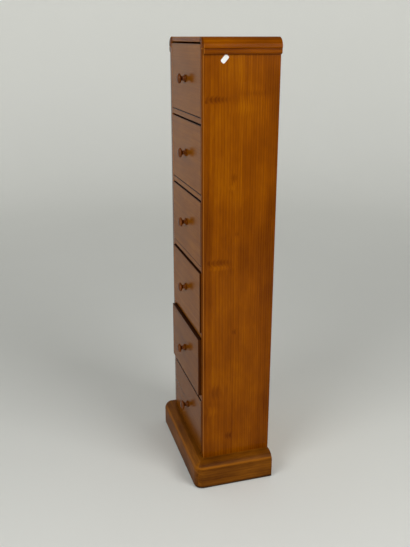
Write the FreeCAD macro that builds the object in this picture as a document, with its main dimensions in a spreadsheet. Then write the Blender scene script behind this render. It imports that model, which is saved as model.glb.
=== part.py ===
import FreeCAD, Part
import math
import os
import Sketcher
from FreeCAD import Vector

# Chiffonier: a tall, narrow chest of six drawers in solid wood.
# Frame: X to the right, Y from front to back, Z up. The origin is on the floor, midway between
# left and right and midway between the front of the plinth and the back of the case.

doc = FreeCAD.newDocument("Chiffonier")


# Driving dimensions in millimetres

DRIVING = [
    ("TotalHeight", 1300, "floor to the top of the case"),
    ("CaseWidth", 345, "outside the two side panels"),
    ("CaseDepth", 210, "front edge of the side panels to the back"),
    ("SideThick", 20, "side panel"),
    ("TopThick", 13, "top board"),
    ("BottomThick", 15, "bottom board"),
    ("BackThick", 5, "back panel"),
    ("RailThick", 15, "rail between two drawers"),
    ("RailDepth", 60, "rail from front to back"),
    ("RunnerWidth", 14, "runner proud of the side panel"),
    ("HousingDepth", 6, "groove in the side panel for rails, runners and bottom"),
    ("HousingSetback", 12, "stopped end of that groove behind the front edge"),
    ("RebateWidth", 10, "side panel rebate for the back panel"),
    ("RebateRise", 8, "top board rebate for the back panel"),
    ("FootLift", 3, "side panels clear of the floor"),
    ("EdgeBevel", 1.2, "eased front edges of the case"),
    ("ShoulderHeight", 28, "rounded piece along each side of the top"),
    ("ShoulderOverhang", 10, "how far it stands out over the side panel"),
    ("ShoulderRound", 25, "its outer radius"),
    ("ShoulderLip", 2.5, "radius of its lower edge"),
    ("ShoulderCove", 12, "radius of the drawer opening's upper corners"),
    ("BeadHeight", 15, "flat bead under the shoulder"),
    ("BeadProud", 8.5, "how far the bead stands out"),
    ("BeadRound", 6, "radius of its lower edge"),
    ("BeadQuirk", 1.5, "radius of its upper edge"),
    ("PlinthHeight", 82, "floor to the ledge of the plinth"),
    ("PlinthFront", 34, "plinth in front of the case"),
    ("PlinthSide", 40, "plinth beside the case"),
    ("PlinthRound", 25, "radius of the plinth's upper edge"),
    ("PlinthCorner", 26, "radius of the plinth's front corners, seen from above"),
    ("PlinthFoot", 5, "radius of the plinth's lower edge"),
    ("PlinthRail", 15, "thickness of the plinth's rail at the back"),
    ("BlockSize", 32, "glue block, along each wall"),
    ("BlockNose", 6, "glue block, narrow end"),
    ("FrontThick", 18, "drawer front"),
    ("FrontSideGap", 1, "gap between drawer front and side panel"),
    ("FrontTopGap", 4.6, "gap above a drawer front"),
    ("FrontFootGap", 1.5, "gap below a drawer front"),
    ("FrontBevel", 0.8, "eased edges of drawer fronts and rails"),
    ("BoxThick", 10, "drawer side and drawer back"),
    ("BoxSlide", 0.3, "running gap between drawer side and runner"),
    ("BoxDrop", 4, "gap above a drawer side"),
    ("BoxRear", 12, "gap between drawer and back panel"),
    ("LapThick", 10, "wood left in front of the dovetails"),
    ("TailWidth", 27, "dovetail at its root"),
    ("TailFlare", 1.4, "what the dovetail gains on each edge"),
    ("JointGap", 0.1, "glue gap in joints"),
    ("GrooveDepth", 5, "groove for the drawer bottom"),
    ("GrooveLift", 10, "groove above the runner"),
    ("PlyThick", 4, "drawer bottom"),
    ("PlyGap", 0.2, "play of the drawer bottom in its groove"),
    ("RearInset", 6, "drawer back from the ends of the drawer sides"),
    ("RearHousing", 3, "drawer back let into the drawer sides"),
    ("RearDrop", 5, "drawer back lower than the drawer sides"),
    ("StopWidth", 30, "drawer stop"),
    ("StopDepth", 12, "drawer stop from front to back"),
    ("StopHeight", 6, "drawer stop"),
    ("StopSpread", 120, "between the middles of two drawer stops"),
    ("StopGap", 0.3, "closed drawer front to its stops"),
    ("CollarRadius", 10.5, "turned collar of the knob, on the drawer front"),
    ("CollarReach", 4.5, "that collar in front of the drawer"),
    ("NeckRadius", 5.6, "narrowest part of the knob's hollow neck"),
    ("NeckReach", 9.5, "length of the hollow neck"),
    ("HeadRadius", 13.7, "knob's head"),
    ("HeadFlare", 2, "sloping underside of the head"),
    ("HeadRim", 2.5, "straight rim of the head"),
    ("HeadBevel", 2.5, "bevel between rim and face"),
    ("HeadDome", 3, "height of the head's domed face"),
    ("SpigotRadius", 4.5, "turned pin that holds the knob"),
    ("SpigotLength", 15, "that pin"),
    ("OpenFirst", 0, "how far the top drawer stands open"),
    ("OpenSecond", 0, "second drawer"),
    ("OpenThird", 1, "third drawer"),
    ("OpenFourth", 4.5, "fourth drawer"),
    ("OpenFifth", 9.5, "fifth drawer"),
    ("OpenSixth", 1.5, "bottom drawer"),
]
OPEN_NAMES = ["OpenFirst", "OpenSecond", "OpenThird", "OpenFourth", "OpenFifth", "OpenSixth"]
DRAWERS = len(OPEN_NAMES)
TAILS = 4
LEFT, RIGHT = -1, 1
HANDS = (("left", LEFT), ("right", RIGHT))
OVERCUT = 5
HALF_CORNER = 45
NEAR = 0.01


class Size:
    """A length that carries its value and the expression that gives it."""

    def __init__(self, text, value):
        self.text = text
        self.value = value

    def __add__(self, other):
        other = as_size(other)
        return Size("(%s + %s)" % (self.text, other.text), self.value + other.value)

    def __sub__(self, other):
        other = as_size(other)
        return Size("(%s - %s)" % (self.text, other.text), self.value - other.value)

    def __mul__(self, other):
        other = as_size(other)
        return Size("(%s * %s)" % (self.text, other.text), self.value * other.value)

    def __truediv__(self, other):
        other = as_size(other)
        return Size("(%s / %s)" % (self.text, other.text), self.value / other.value)

    def __rsub__(self, other):
        return as_size(other) - self

    def __neg__(self):
        return as_size(0) - self

    __radd__ = __add__
    __rmul__ = __mul__


def as_size(number):
    if isinstance(number, Size):
        return number
    return Size("%g" % number, float(number))


def smaller(first, second):
    """The smaller of two sizes, for a rounding that its wall limits."""
    return Size("min(%s; %s)" % (first.text, second.text), min(first.value, second.value))


def rise_radius(half_chord, rise):
    """Radius of the arc that climbs this far over half its chord, level at one end."""
    return (half_chord * half_chord + rise * rise) / (rise * 2)


# Spreadsheets: driving numbers in one, worked-out sizes in the other

dims = doc.addObject("Spreadsheet::Sheet", "Dims")
for row, (alias, number, note) in enumerate(DRIVING, start=1):
    dims.set("A%d" % row, note)
    dims.set("B%d" % row, "%g" % number)
    dims.setAlias("B%d" % row, alias)
worked = doc.addObject("Spreadsheet::Sheet", "Worked")
worked_names = []
doc.recompute()


def given(alias):
    """A driving dimension of the sheet."""
    return Size("Dims." + alias, float(dims.get(alias)))


def work_out(alias, size, note):
    """Keep a worked-out size in the second sheet under a name of its own."""
    worked_names.append(alias)
    row = len(worked_names)
    worked.set("A%d" % row, note)
    worked.set("B%d" % row, "=" + size.text)
    worked.setAlias("B%d" % row, alias)
    return Size("Worked." + alias, size.value)


HEIGHT = given("TotalHeight")
DEPTH = given("CaseDepth")
RAIL = given("RailThick")
JOINT = given("JointGap")
PLINTH = given("PlinthHeight")
HALF = work_out("HalfWidth", given("CaseWidth") / 2, "middle to the outside of the case")
INNER = work_out("HalfInside", HALF - given("SideThick"), "middle to the inside of the case")
BAY = work_out(
    "BayHeight",
    (HEIGHT - given("TopThick") - PLINTH - RAIL * (DRAWERS - 1)) / DRAWERS,
    "height of one drawer opening",
)
PITCH = work_out("Pitch", BAY + RAIL, "from one drawer to the next")
SHIFT = work_out("Shift", (given("PlinthFront") - DEPTH) / 2, "case front plane in the frame")
WALL = work_out("Wall", DEPTH - given("BackThick"), "front plane to the back panel")
FRONT_HALF = work_out("FrontHalf", INNER - given("FrontSideGap"), "half a drawer front")
BOX_INNER = work_out("BoxInner", FRONT_HALF - given("BoxThick"), "half the inside of a drawer")
BOX_LENGTH = work_out("BoxLength", WALL - given("BoxRear"), "drawer from front to back")
PLY_TOP = work_out("PlyTop", given("GrooveLift") + given("PlyThick"), "upper face of a drawer bottom")
COVE = work_out(
    "Cove",
    smaller(given("ShoulderCove"), given("ShoulderHeight") - given("TopThick") - given("ShoulderLip")),
    "radius of the opening's upper corners",
)
CORNER = work_out(
    "Corner",
    smaller(given("PlinthCorner"), smaller(given("PlinthFront"), given("PlinthSide")) - JOINT),
    "radius of the plinth's front corners",
)
doc.recompute()


def bay_floor(index):
    """Height of the floor of a drawer opening, counted from the top."""
    return PLINTH + PITCH * (DRAWERS - 1 - index)


# Building blocks

nodes = []


def bind(thing, prop, size):
    thing.setExpression(prop, as_size(size).text)


def place(thing, x=0, y=0, z=0):
    """Put a sub-part into the frame: y counts from the front plane of the case."""
    bind(thing, "Placement.Base.x", x)
    bind(thing, "Placement.Base.y", SHIFT + y)
    bind(thing, "Placement.Base.z", z)


def new_body(name):
    body = doc.addObject("PartDesign::Body", name)
    body.Label = name
    nodes.append(body)
    return body


def origin_part(body, role):
    for feature in body.Origin.OriginFeatures:
        if feature.Role == role:
            return feature
    raise ValueError("no origin feature " + role)


def arc_between(start, end, radius, turn):
    """Arc of less than half a turn, counterclockwise for a turn of 1 and clockwise for -1."""
    chord = end - start
    across = Vector(-chord.y, chord.x, 0).normalize()
    reach = math.sqrt(max(radius ** 2 - (chord.Length / 2) ** 2, 0))
    centre = (start + end) / 2 + across * reach * turn
    first, last = (start, end) if turn > 0 else (end, start)
    angles = [math.atan2(p.y - centre.y, p.x - centre.x) for p in (first, last)]
    circle = Part.Circle(centre, Vector(0, 0, 1), radius)
    return Part.ArcOfCircle(circle, angles[0], angles[1])


def hold(sketch, geometry, end, axis, size):
    """Fix one coordinate of a point to its expression."""
    if as_size(size).text == "0":
        guide = -2 if axis == "X" else -1
        sketch.addConstraint(Sketcher.Constraint("PointOnObject", geometry, end, guide))
        return
    kind = "Distance" + axis
    index = sketch.addConstraint(
        Sketcher.Constraint(kind, -1, 1, geometry, end, as_size(size).value)
    )
    name = "%s%s_%d" % (kind, end, geometry)
    sketch.renameConstraint(index, name)
    bind(sketch, "Constraints." + name, size)


def add_outline(sketch, corners):
    """Closed outline. A corner is (x, y), or (x, y, radius, turn) at the end of an arc."""
    edges = []
    for index, corner in enumerate(corners):
        before = corners[index - 1]
        start = Vector(as_size(before[0]).value, as_size(before[1]).value, 0)
        end = Vector(as_size(corner[0]).value, as_size(corner[1]).value, 0)
        if len(corner) == 2:
            number = sketch.addGeometry(Part.LineSegment(start, end))
            edges.append((number, 1, 2))
            continue
        radius, turn = as_size(corner[2]), corner[3]
        number = sketch.addGeometry(arc_between(start, end, radius.value, turn))
        edges.append((number, 1, 2) if turn > 0 else (number, 2, 1))
        index = sketch.addConstraint(Sketcher.Constraint("Radius", number, radius.value))
        sketch.renameConstraint(index, "Radius_%d" % number)
        bind(sketch, "Constraints.Radius_%d" % number, radius)
    for index, corner in enumerate(corners):
        number, _, end = edges[index]
        following, start, _ = edges[(index + 1) % len(edges)]
        sketch.addConstraint(Sketcher.Constraint("Coincident", number, end, following, start))
        hold(sketch, number, end, "X", corner[0])
        hold(sketch, number, end, "Y", corner[1])


def new_sketch(body, name, plane, lift=0):
    """Sketch on an origin plane of the body, lifted along the plane's normal."""
    sketch = body.newObject("Sketcher::SketchObject", name)
    sketch.AttachmentSupport = [(origin_part(body, plane), "")]
    sketch.MapMode = "FlatFace"
    if as_size(lift).text != "0":
        bind(sketch, "AttachmentOffset.Base.z", lift)
    return sketch


def add_circle(sketch, x, y, radius):
    centre = Vector(as_size(x).value, as_size(y).value, 0)
    circle = sketch.addGeometry(Part.Circle(centre, Vector(0, 0, 1), radius.value))
    index = sketch.addConstraint(Sketcher.Constraint("Radius", circle, radius.value))
    sketch.renameConstraint(index, "Radius_%d" % circle)
    bind(sketch, "Constraints.Radius_%d" % circle, radius)
    hold(sketch, circle, 3, "X", x)
    hold(sketch, circle, 3, "Y", y)


def draw(body, name, plane, outlines, lift=0):
    sketch = new_sketch(body, name, plane, lift)
    for corners in outlines:
        add_outline(sketch, corners)
    return sketch


def rectangle(x0, y0, x1, y1):
    return [(x0, y0), (x1, y0), (x1, y1), (x0, y1)]


def pad(body, sketch, length, reverse=False, symmetric=False):
    feature = body.newObject("PartDesign::Pad", sketch.Name + "Pad")
    feature.Profile = sketch
    bind(feature, "Length", length)
    feature.Reversed = reverse
    if symmetric:
        feature.SideType = "Symmetric"
    body.Tip = feature
    return feature


def pocket(body, sketch, length=None, reverse=False, symmetric=False):
    """Cut against the sketch's normal, or along it when reversed. No length cuts all through."""
    feature = body.newObject("PartDesign::Pocket", sketch.Name + "Pocket")
    feature.Profile = sketch
    if length is None:
        feature.Type = "ThroughAll"
    else:
        bind(feature, "Length", length)
    feature.Reversed = reverse
    if symmetric:
        feature.SideType = "Symmetric"
    body.Tip = feature
    return feature


def repeat_up(body, feature, step, count):
    """Repeat a feature along Z."""
    pattern = body.newObject("PartDesign::LinearPattern", feature.Name + "Row")
    pattern.Originals = [feature]
    pattern.Direction = (origin_part(body, "Z_Axis"), [""])
    pattern.Occurrences = count
    bind(pattern, "Length", step * (count - 1))
    body.Tip = pattern
    return pattern


def ease_edges(body, bevel, wanted):
    """Chamfer those edges of the body's tip that pass the test."""
    doc.recompute()
    base = body.Tip
    names = [
        "Edge%d" % number
        for number, edge in enumerate(base.Shape.Edges, start=1)
        if wanted(edge)
    ]
    chamfer = body.newObject("PartDesign::Chamfer", base.Name + "Bevel")
    chamfer.Base = (base, names)
    bind(chamfer, "Size", bevel)
    body.Tip = chamfer
    return chamfer


def in_plane(edge, axis, value):
    """True for an edge that lies in the plane where one coordinate has this value."""
    low = getattr(edge.BoundBox, axis + "Min")
    high = getattr(edge.BoundBox, axis + "Max")
    return abs(low - value) < NEAR and abs(high - value) < NEAR


def front_upright(edge):
    return in_plane(edge, "Y", 0) and edge.BoundBox.XLength < NEAR


def front_level(edge):
    return in_plane(edge, "Y", 0) and edge.BoundBox.ZLength < NEAR


def front_any(edge):
    return in_plane(edge, "Y", 0)


def add_box(name, x, y, z):
    """Board given by its lowest and highest X, Y and Z."""
    box = doc.addObject("Part::Box", name)
    bind(box, "Length", x[1] - as_size(x[0]))
    bind(box, "Width", y[1] - as_size(y[0]))
    bind(box, "Height", z[1] - as_size(z[0]))
    place(box, x[0], y[0], z[0])
    return box


def board(name, x, y, z):
    box = add_box(name, x, y, z)
    box.Label = name
    nodes.append(box)
    return box


def group(name, pieces):
    """Several like solids under one name."""
    compound = doc.addObject("Part::Compound", name)
    compound.Links = pieces
    compound.Label = name
    nodes.append(compound)
    return compound


def mirrored(hand, outline):
    """Outline drawn for the right side, turned over for the left."""
    if hand == RIGHT:
        return outline
    flipped = []
    for corner in outline:
        x = as_size(corner[0])
        x = x if x.text == "0" else -x
        rest = corner[1:] if len(corner) == 2 else (corner[1], corner[2], -corner[3])
        flipped.append((x,) + tuple(rest))
    return flipped


# Case

def side_panel(name, hand):
    body = new_body(name)
    edge = INNER + given("RebateWidth")
    section = [(INNER, 0), (HALF, 0), (HALF, DEPTH), (edge, DEPTH), (edge, WALL), (INNER, WALL)]
    sketch = draw(body, name + "_section", "XY_Plane", [mirrored(hand, section)], given("FootLift"))
    pad(body, sketch, HEIGHT - given("ShoulderHeight") - given("FootLift"))
    ease_edges(body, given("EdgeBevel"), front_upright)
    housing_in_side(body, name + "_housing", hand, PLINTH + BAY, RAIL)
    repeat_up(body, body.Tip, PITCH, DRAWERS - 1)
    low = PLINTH - given("BottomThick")
    housing_in_side(body, name + "_foot", hand, low, given("BottomThick"))
    place(body)


def housing_in_side(body, name, hand, low, thickness):
    """Stopped groove in the inner face of a side panel."""
    outline = rectangle(given("HousingSetback"), low - JOINT, WALL, low + thickness + JOINT)
    sketch = draw(body, name, "YZ_Plane", [outline], INNER * hand)
    pocket(body, sketch, given("HousingDepth"), reverse=hand == RIGHT)


def shelf(name, depth, thickness, low):
    """Board across the case whose ends are let into the side panels behind a shoulder."""
    body = new_body(name)
    reach = INNER + given("HousingDepth") - JOINT
    notch = given("HousingSetback") + JOINT
    outline = [
        (-INNER, 0), (INNER, 0), (INNER, notch), (reach, notch),
        (reach, depth), (-reach, depth), (-reach, notch), (-INNER, notch),
    ]
    pad(body, draw(body, name + "_outline", "XY_Plane", [outline]), thickness)
    ease_edges(body, given("FrontBevel"), front_level)
    place(body, z=low)


def runners(name, hand):
    """Strips along the inside of one side panel, one level with each rail."""
    inside = (INNER - given("RunnerWidth")) * hand
    outside = (INNER + given("HousingDepth") - JOINT) * hand
    x = (inside, outside) if hand == RIGHT else (outside, inside)
    strips = []
    for level in range(DRAWERS - 1):
        low = bay_floor(level) - RAIL
        y = (given("RailDepth"), WALL)
        strips.append(add_box("%s_strip_%d" % (name, level + 1), x, y, (low, low + RAIL)))
    group(name, strips)


def drawer_stops():
    """Two small blocks behind each drawer front."""
    near = given("FrontThick") + given("StopGap")
    blocks = []
    for level in range(DRAWERS):
        for label, hand in HANDS:
            middle = given("StopSpread") / 2 * hand
            x = (middle - given("StopWidth") / 2, middle + given("StopWidth") / 2)
            z = (bay_floor(level), bay_floor(level) + given("StopHeight"))
            y = (near, near + given("StopDepth"))
            blocks.append(add_box("stop_%d_%s" % (level + 1, label), x, y, z))
    group("drawer_stops", blocks)


def top_board():
    body = new_body("top_board")
    low = HEIGHT - given("TopThick")
    reach = INNER - COVE
    sketch = draw(body, "top_section", "XZ_Plane", [rectangle(-reach, low, reach, HEIGHT)])
    pad(body, sketch, DEPTH, reverse=True)
    rebate = rectangle(WALL, low, DEPTH, low + given("RebateRise"))
    pocket(body, draw(body, "top_rebate", "YZ_Plane", [rebate]), reach * 2, symmetric=True)
    ease_edges(body, given("EdgeBevel"), front_level)
    place(body)


def shoulder(name, hand):
    """Rounded corner piece: it overhangs the side panel and coves into the drawer opening."""
    body = new_body(name)
    base = HEIGHT - given("ShoulderHeight")
    outer = HALF + given("ShoulderOverhang")
    lip = given("ShoulderLip")
    big = smaller(given("ShoulderRound"), given("ShoulderHeight") - lip - JOINT)
    spring = HEIGHT - given("TopThick") - COVE
    profile = [
        (INNER - COVE, HEIGHT), (outer - big, HEIGHT), (outer, HEIGHT - big, big, -1),
        (outer, base + lip), (outer - lip, base, lip, -1), (INNER, base), (INNER, spring),
        (INNER - COVE, spring + COVE, COVE, 1),
    ]
    sketch = draw(body, name + "_profile", "XZ_Plane", [mirrored(hand, profile)])
    pad(body, sketch, DEPTH, reverse=True)
    rebate = rectangle(
        INNER - COVE - OVERCUT, base - OVERCUT,
        INNER + given("RebateWidth"), HEIGHT - given("TopThick") + given("RebateRise"),
    )
    cut = draw(body, name + "_rebate", "XZ_Plane", [mirrored(hand, rebate)], -WALL)
    pocket(body, cut)
    ease_edges(
        body, given("EdgeBevel"), lambda edge: front_any(edge) and not in_plane(edge, "Z", base.value)
    )
    place(body)


def bead(name, hand):
    body = new_body(name)
    top = HEIGHT - given("ShoulderHeight")
    low, outer = top - given("BeadHeight"), HALF + given("BeadProud")
    below, above = given("BeadRound"), given("BeadQuirk")
    profile = [
        (HALF, low), (outer - below, low), (outer, low + below, below, 1),
        (outer, top - above), (outer - above, top, above, 1), (HALF, top),
    ]
    sketch = draw(body, name + "_profile", "XZ_Plane", [mirrored(hand, profile)])
    pad(body, sketch, DEPTH, reverse=True)
    place(body)


def back_panel():
    reach = INNER + given("RebateWidth") - JOINT
    top = HEIGHT - given("TopThick") + given("RebateRise") - JOINT
    board("back_panel", (-reach, reach), (WALL, DEPTH), (given("FootLift"), top))


# Plinth

def moulding(inside, outside):
    """Plinth section from its inner face to its outer face, which has a large rounded edge."""
    foot = given("PlinthFoot")
    big = smaller(given("PlinthRound"), smaller(CORNER, PLINTH - foot) - JOINT)
    return [
        (inside, 0), (outside - foot, 0), (outside, foot, foot, 1),
        (outside, PLINTH - big), (outside - big, PLINTH, big, 1), (inside, PLINTH),
    ]


def round_corner(body, name, plane, outward, along, lift, clockwise):
    """Turn the plinth section through half a corner, up to the mitre."""
    sketch = draw(body, name, plane, [mirrored(outward, moulding(0, CORNER))], lift)
    bind(sketch, "AttachmentOffset.Base.x", along)
    turned = body.newObject("PartDesign::Revolution", name + "_turned")
    turned.Profile = sketch
    turned.ReferenceAxis = (sketch, ["V_Axis"])
    turned.Angle = HALF_CORNER
    turned.Reversed = clockwise
    body.Tip = turned


def plinth_front():
    body = new_body("plinth_front")
    reach = HALF + given("PlinthSide")
    front = given("PlinthFront")
    section = mirrored(LEFT, moulding(0, front))
    pad(body, draw(body, "front_moulding", "YZ_Plane", [section]), reach * 2, symmetric=True)
    far = -front - OVERCUT
    corner = [
        (reach - CORNER, far), (reach + OVERCUT, far), (reach + OVERCUT, OVERCUT),
        (reach - front - OVERCUT, OVERCUT), (reach - CORNER, CORNER - front),
    ]
    mitres = draw(body, "front_mitres", "XY_Plane", [corner, mirrored(LEFT, corner)])
    pocket(body, mitres, PLINTH, reverse=True)
    for label, hand in HANDS:
        round_corner(
            body, "front_corner_" + label, "YZ_Plane", LEFT,
            CORNER - front, (reach - CORNER) * hand, hand == LEFT,
        )
    place(body)


def plinth_side(name, hand):
    body = new_body(name)
    reach = HALF + given("PlinthSide")
    front = given("PlinthFront")
    section = mirrored(hand, moulding(HALF, reach))
    sketch = draw(body, name + "_moulding", "XZ_Plane", [section], front)
    pad(body, sketch, DEPTH + front, reverse=True)
    far = -front - OVERCUT
    corner = [
        (HALF - OVERCUT, far), (reach + OVERCUT, far), (reach + OVERCUT, CORNER - front),
        (reach - CORNER, CORNER - front), (reach - front, 0), (HALF - OVERCUT, 0),
    ]
    mitre = draw(body, name + "_mitre", "XY_Plane", [mirrored(hand, corner)])
    pocket(body, mitre, PLINTH, reverse=True)
    round_corner(
        body, name + "_corner", "XZ_Plane", hand,
        (reach - CORNER) * hand, front - CORNER, hand == RIGHT,
    )
    place(body)


def plinth_inside():
    """Rail at the back of the plinth and glue blocks in its corners."""
    low, top = given("FootLift"), PLINTH - given("BottomThick")
    rail_front = WALL - given("PlinthRail")
    board("plinth_back", (-INNER, INNER), (rail_front, WALL), (low, top))
    size, nose = given("BlockSize"), given("BlockNose")
    blocks = []
    for label, hand in HANDS:
        for end in ("front", "rear"):
            block = doc.addObject("Part::Wedge", "block_%s_%s" % (end, label))
            wide = (-size, as_size(0)) if hand == RIGHT else (as_size(0), size)
            slim = (-nose, as_size(0)) if hand == RIGHT else (as_size(0), nose)
            at_low, at_high = (wide, slim) if end == "front" else (slim, wide)
            for prop, size_of in zip(
                ("Xmin", "Xmax", "X2min", "X2max", "Ymin", "Ymax", "Zmin", "Zmax", "Z2min", "Z2max"),
                at_low + at_high + (0, size, 0, top - low, 0, top - low),
            ):
                bind(block, prop, size_of)
            place(block, INNER * hand, 0 if end == "front" else rail_front - size, low)
            blocks.append(block)
    group("glue_blocks", blocks)


# Drawers, each drawn in its own opening: X from the middle, Y from the case front, Z from the runner

def tail_step(side_height):
    return (side_height - given("BoxSlide")) / TAILS


def tail_outline(step, slack):
    """Lowest dovetail of a drawer side, or the socket for it when there is slack."""
    middle = given("BoxSlide") + step / 2
    root = given("TailWidth") / 2 + slack
    tip = root + given("TailFlare")
    start = given("LapThick") + JOINT - slack
    end = given("FrontThick")
    return [(start, middle - tip), (end, middle - root), (end, middle + root), (start, middle + tip)]


def drawer_front(name, side_height, under_cove):
    body = new_body(name)
    low, top = given("FrontFootGap"), BAY - given("FrontTopGap")
    if under_cove:
        curve = COVE - given("FrontTopGap")
        outline = [
            (-FRONT_HALF, low), (FRONT_HALF, low), (FRONT_HALF, top - curve),
            (FRONT_HALF - curve, top, curve, 1), (-FRONT_HALF + curve, top),
            (-FRONT_HALF, top - curve, curve, 1),
        ]
    else:
        outline = rectangle(-FRONT_HALF, low, FRONT_HALF, top)
    pad(body, draw(body, name + "_outline", "XZ_Plane", [outline]), given("FrontThick"), reverse=True)
    ease_edges(body, given("FrontBevel"), front_any)
    step = tail_step(side_height)
    for label, hand in HANDS:
        socket = draw(
            body, "%s_socket_%s" % (name, label), "YZ_Plane",
            [tail_outline(step, JOINT)], (BOX_INNER - JOINT) * hand,
        )
        pocket(body, socket, reverse=hand == RIGHT)
        repeat_up(body, body.Tip, step, TAILS)
    start = given("FrontThick") - given("GrooveDepth")
    groove = rectangle(start, given("GrooveLift"), given("FrontThick"), PLY_TOP + given("PlyGap"))
    slot = draw(body, name + "_groove", "YZ_Plane", [groove])
    pocket(body, slot, (BOX_INNER + given("GrooveDepth")) * 2, symmetric=True)
    hole = new_sketch(body, name + "_hole", "XZ_Plane")
    add_circle(hole, 0, (low + top) / 2, given("SpigotRadius") + JOINT)
    pocket(body, hole)
    return body


def drawer_side(name, hand, side_height):
    """Drawer side: dovetails at the front, a groove for the bottom and a housing for the back."""
    body = new_body(name)
    start = BOX_INNER if hand == RIGHT else -FRONT_HALF
    wall = rectangle(given("FrontThick"), given("BoxSlide"), BOX_LENGTH, side_height)
    pad(body, draw(body, name + "_wall", "YZ_Plane", [wall], start), given("BoxThick"))
    step = tail_step(side_height)
    tail = draw(body, name + "_tail", "YZ_Plane", [tail_outline(step, 0)], start)
    pad(body, tail, given("BoxThick"))
    repeat_up(body, body.Tip, step, TAILS)
    slot_top = PLY_TOP + given("PlyGap")
    groove = rectangle(0, given("GrooveLift"), BOX_LENGTH + OVERCUT, slot_top)
    slot = draw(body, name + "_groove", "YZ_Plane", [groove], BOX_INNER * hand)
    pocket(body, slot, given("GrooveDepth"), reverse=hand == RIGHT)
    rear = BOX_LENGTH - given("RearInset")
    housing = rectangle(
        rear - given("BoxThick") - JOINT, slot_top - JOINT, rear + JOINT, side_height + OVERCUT
    )
    slot = draw(body, name + "_housing", "YZ_Plane", [housing], BOX_INNER * hand)
    pocket(body, slot, given("RearHousing"), reverse=hand == RIGHT)
    return body


def drawer_knob(name):
    """Turned knob: pin, collar, hollow neck and a domed head. Its own Z is the turning axis."""
    body = new_body(name)
    pin, collar, head = given("SpigotRadius"), given("CollarRadius"), given("HeadRadius")
    neck_start = given("CollarReach")
    under = neck_start + given("NeckReach")
    rim = under + given("HeadFlare")
    bevel = rim + given("HeadRim")
    face = bevel + given("HeadBevel")
    hollow = rise_radius(given("NeckReach") / 2, collar - given("NeckRadius"))
    profile = [
        (0, -given("SpigotLength")), (pin, -given("SpigotLength")), (pin, 0), (collar, 0),
        (collar, neck_start), (collar, under, hollow, -1), (head, rim), (head, bevel),
        (head - given("HeadBevel"), face),
        (0, face + given("HeadDome"), rise_radius(head - given("HeadBevel"), given("HeadDome")), 1),
    ]
    sketch = draw(body, name + "_profile", "XZ_Plane", [profile])
    turned = body.newObject("PartDesign::Revolution", name + "_turned")
    turned.Profile = sketch
    turned.ReferenceAxis = (sketch, ["V_Axis"])
    turned.Angle = 360
    body.Tip = turned
    return body


def drawer(index):
    name = "drawer_%d" % (index + 1)
    floor = bay_floor(index)
    pull = given(OPEN_NAMES[index])
    under_cove = index == 0
    side_height = BAY - given("BoxDrop")
    if under_cove:
        side_height = side_height - COVE
    place(drawer_front(name + "_front", side_height, under_cove), 0, -pull, floor)
    for label, hand in HANDS:
        place(drawer_side("%s_side_%s" % (name, label), hand, side_height), 0, -pull, floor)
    rear = BOX_LENGTH - given("RearInset")
    reach = BOX_INNER + given("RearHousing") - JOINT
    board(
        name + "_back", (-reach, reach), (rear - given("BoxThick") - pull, rear - pull),
        (floor + PLY_TOP, floor + side_height - given("RearDrop")),
    )
    reach = BOX_INNER + given("GrooveDepth") - given("PlyGap")
    sheet = given("FrontThick") - given("GrooveDepth") + given("PlyGap")
    board(
        name + "_bottom", (-reach, reach), (sheet - pull, BOX_LENGTH - pull),
        (floor + given("GrooveLift"), floor + PLY_TOP),
    )
    knob = drawer_knob(name + "_knob")
    knob.Placement.Rotation = FreeCAD.Rotation(Vector(1, 0, 0), 90)
    middle = (given("FrontFootGap") + BAY - given("FrontTopGap")) / 2
    place(knob, 0, -pull, floor + middle)


# Assembly

top_board()
for label, hand in HANDS:
    side_panel("side_" + label, hand)
    shoulder("shoulder_" + label, hand)
    bead("bead_" + label, hand)
    runners("runners_" + label, hand)
    plinth_side("plinth_" + label, hand)
back_panel()
shelf("bottom_board", WALL, given("BottomThick"), PLINTH - given("BottomThick"))
for level in range(DRAWERS - 1):
    shelf("rail_%d" % (level + 1), given("RailDepth"), RAIL, bay_floor(level) - RAIL)
plinth_front()
plinth_inside()
drawer_stops()
for index in range(DRAWERS):
    drawer(index)
doc.recompute()


# Checks and export

def faults():
    for thing in doc.Objects:
        if "Invalid" in thing.State or "Error" in thing.State:
            yield "%s: %s" % (thing.Label, thing.State)
        if thing.TypeId == "PartDesign::Pocket":
            if thing.Shape.Volume > thing.BaseFeature.Shape.Volume - NEAR:
                yield "%s: cuts nothing" % thing.Label
    for node in nodes:
        if node.Shape.isNull() or not node.Shape.isValid() or not node.Shape.Solids:
            yield "%s: bad shape" % node.Label


found = list(faults())
if found:
    raise RuntimeError("; ".join(found))
os.makedirs("parts", exist_ok=True)
for node in nodes:
    node.Shape.exportStep("parts/%s.step" % node.Label)
print(len(nodes), "parts,", sum(len(node.Shape.Solids) for node in nodes), "solids")
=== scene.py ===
import math
import random

import bmesh
import bpy
from bpy.props import FloatProperty, FloatVectorProperty, IntProperty, PointerProperty
from mathutils import Matrix, Vector


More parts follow.
